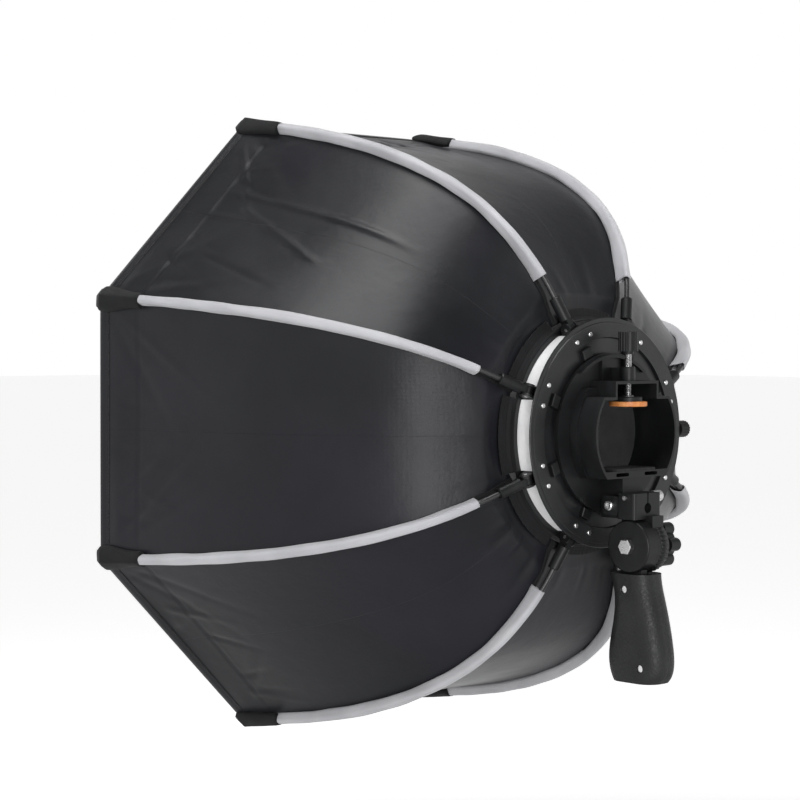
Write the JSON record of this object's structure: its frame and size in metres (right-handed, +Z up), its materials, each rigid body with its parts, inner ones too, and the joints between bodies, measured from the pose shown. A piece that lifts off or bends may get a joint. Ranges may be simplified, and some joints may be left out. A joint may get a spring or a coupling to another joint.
{
  "type": "studio softbox",
  "caption": "Folding octagonal softbox on bowed ribs, with a ring hub, a flash bracket with a screw clamp, a tilting head and a pistol grip.",
  "frame": {"origin": "mouth of the tripod thread under the grip", "axes": "+Z up, light leaves towards -Y, the tilt knob is on the -X side"},
  "size_m": [0.6054, 0.4456, 0.6054],
  "materials": {
    "cover_fabric": "matt nylon, black, silver on the inside",
    "diffuser_fabric": "white translucent cloth",
    "rod_steel": "black coated spring steel",
    "black_plastic": "satin moulded plastic",
    "screw_steel": "bright zinc",
    "chrome": "polished",
    "reflector": "white reflective strip",
    "rubber": "matt",
    "foot_steel": "black painted steel",
    "clamp_rubber": "orange rubber",
    "grip_plastic": "soft grained",
    "brass": "turned"
  },
  "bodies": {
    "grip": {"grip_frame": "black_plastic", "grip_shell_left": "grip_plastic", "grip_shell_right": "grip_plastic", "grip_screws": "screw_steel", "thread_insert": "brass", "tilt_bolt": "chrome", "tilt_washer": "screw_steel"},
    "bracket": {"bracket_housing": "black_plastic", "retaining_ring": "black_plastic", "floor_pad": "rubber", "clamp_bush": "brass", "tilt_head": "black_plastic", "side_bolt": "screw_steel"},
    "tilt_knob": {"tilt_knob": "black_plastic"},
    "umbrella_screw": {"umbrella_screw": "screw_steel"},
    "clamp_foot": {"clamp_foot": "foot_steel", "clamp_pad": "clamp_rubber"},
    "clamp_screw": {"clamp_screw": "screw_steel", "clamp_knob": "black_plastic"},
    "hub": {"hub_plate": "black_plastic", "hub_drum": "black_plastic", "hinge_pins": "screw_steel", "plate_screws": "screw_steel", "rib_stops": "black_plastic", "reflective_band": "reflector", "front_diffuser": "diffuser_fabric"},
    "hub_lock": {"lock_screw": "screw_steel", "lock_knob": "black_plastic"},
    "rib_1": {"rib_rod_1": "rod_steel", "rib_socket_1": "black_plastic"},
    "pleat_1_after": {"panel_1_after": "cover_fabric"},
    "pleat_1_before": {"panel_1_before": "cover_fabric"},
    "rib_2": {"rib_rod_2": "rod_steel", "rib_socket_2": "black_plastic"},
    "pleat_2_after": {"panel_2_after": "cover_fabric"},
    "pleat_2_before": {"panel_2_before": "cover_fabric"},
    "rib_3": {"rib_rod_3": "rod_steel", "rib_socket_3": "black_plastic"},
    "pleat_3_after": {"panel_3_after": "cover_fabric"},
    "pleat_3_before": {"panel_3_before": "cover_fabric"},
    "rib_4": {"rib_rod_4": "rod_steel", "rib_socket_4": "black_plastic"},
    "pleat_4_after": {"panel_4_after": "cover_fabric"},
    "pleat_4_before": {"panel_4_before": "cover_fabric"},
    "rib_5": {"rib_rod_5": "rod_steel", "rib_socket_5": "black_plastic"},
    "pleat_5_after": {"panel_5_after": "cover_fabric"},
    "pleat_5_before": {"panel_5_before": "cover_fabric"},
    "rib_6": {"rib_rod_6": "rod_steel", "rib_socket_6": "black_plastic"},
    "pleat_6_after": {"panel_6_after": "cover_fabric"},
    "pleat_6_before": {"panel_6_before": "cover_fabric"},
    "rib_7": {"rib_rod_7": "rod_steel", "rib_socket_7": "black_plastic"},
    "pleat_7_after": {"panel_7_after": "cover_fabric"},
    "pleat_7_before": {"panel_7_before": "cover_fabric"},
    "rib_8": {"rib_rod_8": "rod_steel", "rib_socket_8": "black_plastic"},
    "pleat_8_after": {"panel_8_after": "cover_fabric"},
    "pleat_8_before": {"panel_8_before": "cover_fabric"}
  },
  "joints": [
    {"name": "tilt", "type": "hinge", "parent": "grip", "child": "bracket", "pos_m": [0, -0.003, 0.123], "axis": [1, 0, 0], "range_deg": [-75, 15]},
    {"name": "tilt_knob_turn", "type": "hinge", "parent": "grip", "child": "tilt_knob", "pos_m": [-0.03, -0.003, 0.123], "axis": [-1, 0, 0], "range_deg": [-540, 0]},
    {"name": "umbrella_screw_turn", "type": "hinge", "parent": "bracket", "child": "umbrella_screw", "pos_m": [-0.02, -0.0035, 0.1668], "axis": [-1, 0, 0], "range_deg": [-720, 0]},
    {"name": "clamp_travel", "type": "slide", "parent": "bracket", "child": "clamp_foot", "axis": [0, 0, -1], "range_m": [-0.01, 0.011]},
    {"name": "clamp_turn", "type": "hinge", "parent": "clamp_foot", "child": "clamp_screw", "pos_m": [0, -0.017, 0.29], "axis": [0, 0, -1], "range_deg": [-3600, 3960]},
    {"name": "hub_turn", "type": "hinge", "parent": "bracket", "child": "hub", "pos_m": [0, -0.04, 0.224], "axis": [0, 1, 0], "continuous": true},
    {"name": "hub_lock_turn", "type": "hinge", "parent": "hub", "child": "hub_lock", "pos_m": [-0.113, -0.0466, 0.224], "axis": [1, 0, 0], "range_deg": [-360, 0]},
    {"name": "fold_1", "type": "hinge", "parent": "hub", "child": "rib_1", "pos_m": [0.09608, -0.053, 0.2638], "axis": [0.3827, 0, -0.9239], "range_deg": [0, 31], "deforming": ["panel_1_after", "panel_1_before", "panel_2_after", "panel_2_before", "panel_3_after", "panel_3_before", "panel_4_after", "panel_4_before", "panel_5_after", "panel_5_before", "panel_6_after", "panel_6_before", "panel_7_after", "panel_7_before", "panel_8_after", "panel_8_before", "front_diffuser"]},
    {"name": "pleat_1_after_turn", "type": "hinge", "parent": "rib_1", "child": "pleat_1_after", "pos_m": [0.0757, -0.05506, 0.2919], "axis": [-0.1687, 0.0612, 0.9838], "range_deg": [0, 20.34]},
    {"name": "pleat_1_before_turn", "type": "hinge", "parent": "rib_1", "child": "pleat_1_before", "pos_m": [0.10153, -0.05506, 0.22952], "axis": [-0.5763, -0.0612, 0.8149], "range_deg": [0, 20.34]},
    {"name": "fold_2", "type": "hinge", "parent": "hub", "child": "rib_2", "pos_m": [0.0398, -0.053, 0.32008], "axis": [0.9239, 0, -0.3827], "range_deg": [0, 31]},
    {"name": "pleat_2_after_turn", "type": "hinge", "parent": "rib_2", "child": "pleat_2_after", "pos_m": [0.00552, -0.05506, 0.32553], "axis": [-0.8149, 0.0612, 0.5763], "range_deg": [0, 20.34]},
    {"name": "pleat_2_before_turn", "type": "hinge", "parent": "rib_2", "child": "pleat_2_before", "pos_m": [0.06789, -0.05506, 0.2997], "axis": [-0.9838, -0.0612, 0.1687], "range_deg": [0, 20.34]},
    {"name": "fold_3", "type": "hinge", "parent": "hub", "child": "rib_3", "pos_m": [-0.0398, -0.053, 0.32008], "axis": [0.9239, 0, 0.3827], "range_deg": [0, 31]},
    {"name": "pleat_3_after_turn", "type": "hinge", "parent": "rib_3", "child": "pleat_3_after", "pos_m": [-0.06789, -0.05506, 0.2997], "axis": [-0.9838, 0.0612, -0.1687], "range_deg": [0, 20.34]},
    {"name": "pleat_3_before_turn", "type": "hinge", "parent": "rib_3", "child": "pleat_3_before", "pos_m": [-0.00552, -0.05506, 0.32553], "axis": [-0.8149, -0.0612, -0.5763], "range_deg": [0, 20.34]},
    {"name": "fold_4", "type": "hinge", "parent": "hub", "child": "rib_4", "pos_m": [-0.09608, -0.053, 0.2638], "axis": [0.3827, 0, 0.9239], "range_deg": [0, 31]},
    {"name": "pleat_4_after_turn", "type": "hinge", "parent": "rib_4", "child": "pleat_4_after", "pos_m": [-0.10153, -0.05506, 0.22952], "axis": [-0.5763, 0.0612, -0.8149], "range_deg": [0, 20.34]},
    {"name": "pleat_4_before_turn", "type": "hinge", "parent": "rib_4", "child": "pleat_4_before", "pos_m": [-0.0757, -0.05506, 0.2919], "axis": [-0.1687, -0.0612, -0.9838], "range_deg": [0, 20.34]},
    {"name": "fold_5", "type": "hinge", "parent": "hub", "child": "rib_5", "pos_m": [-0.09608, -0.053, 0.1842], "axis": [-0.3827, 0, 0.9239], "range_deg": [0, 31]},
    {"name": "pleat_5_after_turn", "type": "hinge", "parent": "rib_5", "child": "pleat_5_after", "pos_m": [-0.0757, -0.05506, 0.1561], "axis": [0.1687, 0.0612, -0.9838], "range_deg": [0, 20.34]},
    {"name": "pleat_5_before_turn", "type": "hinge", "parent": "rib_5", "child": "pleat_5_before", "pos_m": [-0.10153, -0.05506, 0.21848], "axis": [0.5763, -0.0612, -0.8149], "range_deg": [0, 20.34]},
    {"name": "fold_6", "type": "hinge", "parent": "hub", "child": "rib_6", "pos_m": [-0.0398, -0.053, 0.12792], "axis": [-0.9239, 0, 0.3827], "range_deg": [0, 31]},
    {"name": "pleat_6_after_turn", "type": "hinge", "parent": "rib_6", "child": "pleat_6_after", "pos_m": [-0.00552, -0.05506, 0.12247], "axis": [0.8149, 0.0612, -0.5763], "range_deg": [0, 20.34]},
    {"name": "pleat_6_before_turn", "type": "hinge", "parent": "rib_6", "child": "pleat_6_before", "pos_m": [-0.06789, -0.05506, 0.1483], "axis": [0.9838, -0.0612, -0.1687], "range_deg": [0, 20.34]},
    {"name": "fold_7", "type": "hinge", "parent": "hub", "child": "rib_7", "pos_m": [0.0398, -0.053, 0.12792], "axis": [-0.9239, 0, -0.3827], "range_deg": [0, 31]},
    {"name": "pleat_7_after_turn", "type": "hinge", "parent": "rib_7", "child": "pleat_7_after", "pos_m": [0.06789, -0.05506, 0.1483], "axis": [0.9838, 0.0612, 0.1687], "range_deg": [0, 20.34]},
    {"name": "pleat_7_before_turn", "type": "hinge", "parent": "rib_7", "child": "pleat_7_before", "pos_m": [0.00552, -0.05506, 0.12247], "axis": [0.8149, -0.0612, 0.5763], "range_deg": [0, 20.34]},
    {"name": "fold_8", "type": "hinge", "parent": "hub", "child": "rib_8", "pos_m": [0.09608, -0.053, 0.1842], "axis": [-0.3827, 0, -0.9239], "range_deg": [0, 31]},
    {"name": "pleat_8_after_turn", "type": "hinge", "parent": "rib_8", "child": "pleat_8_after", "pos_m": [0.10153, -0.05506, 0.21848], "axis": [0.5763, 0.0612, 0.8149], "range_deg": [0, 20.34]},
    {"name": "pleat_8_before_turn", "type": "hinge", "parent": "rib_8", "child": "pleat_8_before", "pos_m": [0.0757, -0.05506, 0.1561], "axis": [0.1687, -0.0612, 0.9838], "range_deg": [0, 20.34]}
  ],
  "couplings": [
    {"joint": "clamp_turn", "follows": "clamp_travel", "rad_per_m": 6283.2},
    {"joint": "pleat_1_after_turn", "follows": "fold_1", "ratio": 0.65573},
    {"joint": "pleat_1_before_turn", "follows": "fold_1", "ratio": 0.65573},
    {"joint": "fold_2", "follows": "fold_1", "ratio": 1},
    {"joint": "pleat_2_after_turn", "follows": "fold_1", "ratio": 0.65573},
    {"joint": "pleat_2_before_turn", "follows": "fold_1", "ratio": 0.65573},
    {"joint": "fold_3", "follows": "fold_1", "ratio": 1},
    {"joint": "pleat_3_after_turn", "follows": "fold_1", "ratio": 0.65573},
    {"joint": "pleat_3_before_turn", "follows": "fold_1", "ratio": 0.65573},
    {"joint": "fold_4", "follows": "fold_1", "ratio": 1},
    {"joint": "pleat_4_after_turn", "follows": "fold_1", "ratio": 0.65573},
    {"joint": "pleat_4_before_turn", "follows": "fold_1", "ratio": 0.65573},
    {"joint": "fold_5", "follows": "fold_1", "ratio": 1},
    {"joint": "pleat_5_after_turn", "follows": "fold_1", "ratio": 0.65573},
    {"joint": "pleat_5_before_turn", "follows": "fold_1", "ratio": 0.65573},
    {"joint": "fold_6", "follows": "fold_1", "ratio": 1},
    {"joint": "pleat_6_after_turn", "follows": "fold_1", "ratio": 0.65573},
    {"joint": "pleat_6_before_turn", "follows": "fold_1", "ratio": 0.65573},
    {"joint": "fold_7", "follows": "fold_1", "ratio": 1},
    {"joint": "pleat_7_after_turn", "follows": "fold_1", "ratio": 0.65573},
    {"joint": "pleat_7_before_turn", "follows": "fold_1", "ratio": 0.65573},
    {"joint": "fold_8", "follows": "fold_1", "ratio": 1},
    {"joint": "pleat_8_after_turn", "follows": "fold_1", "ratio": 0.65573},
    {"joint": "pleat_8_before_turn", "follows": "fold_1", "ratio": 0.65573}
  ]
}
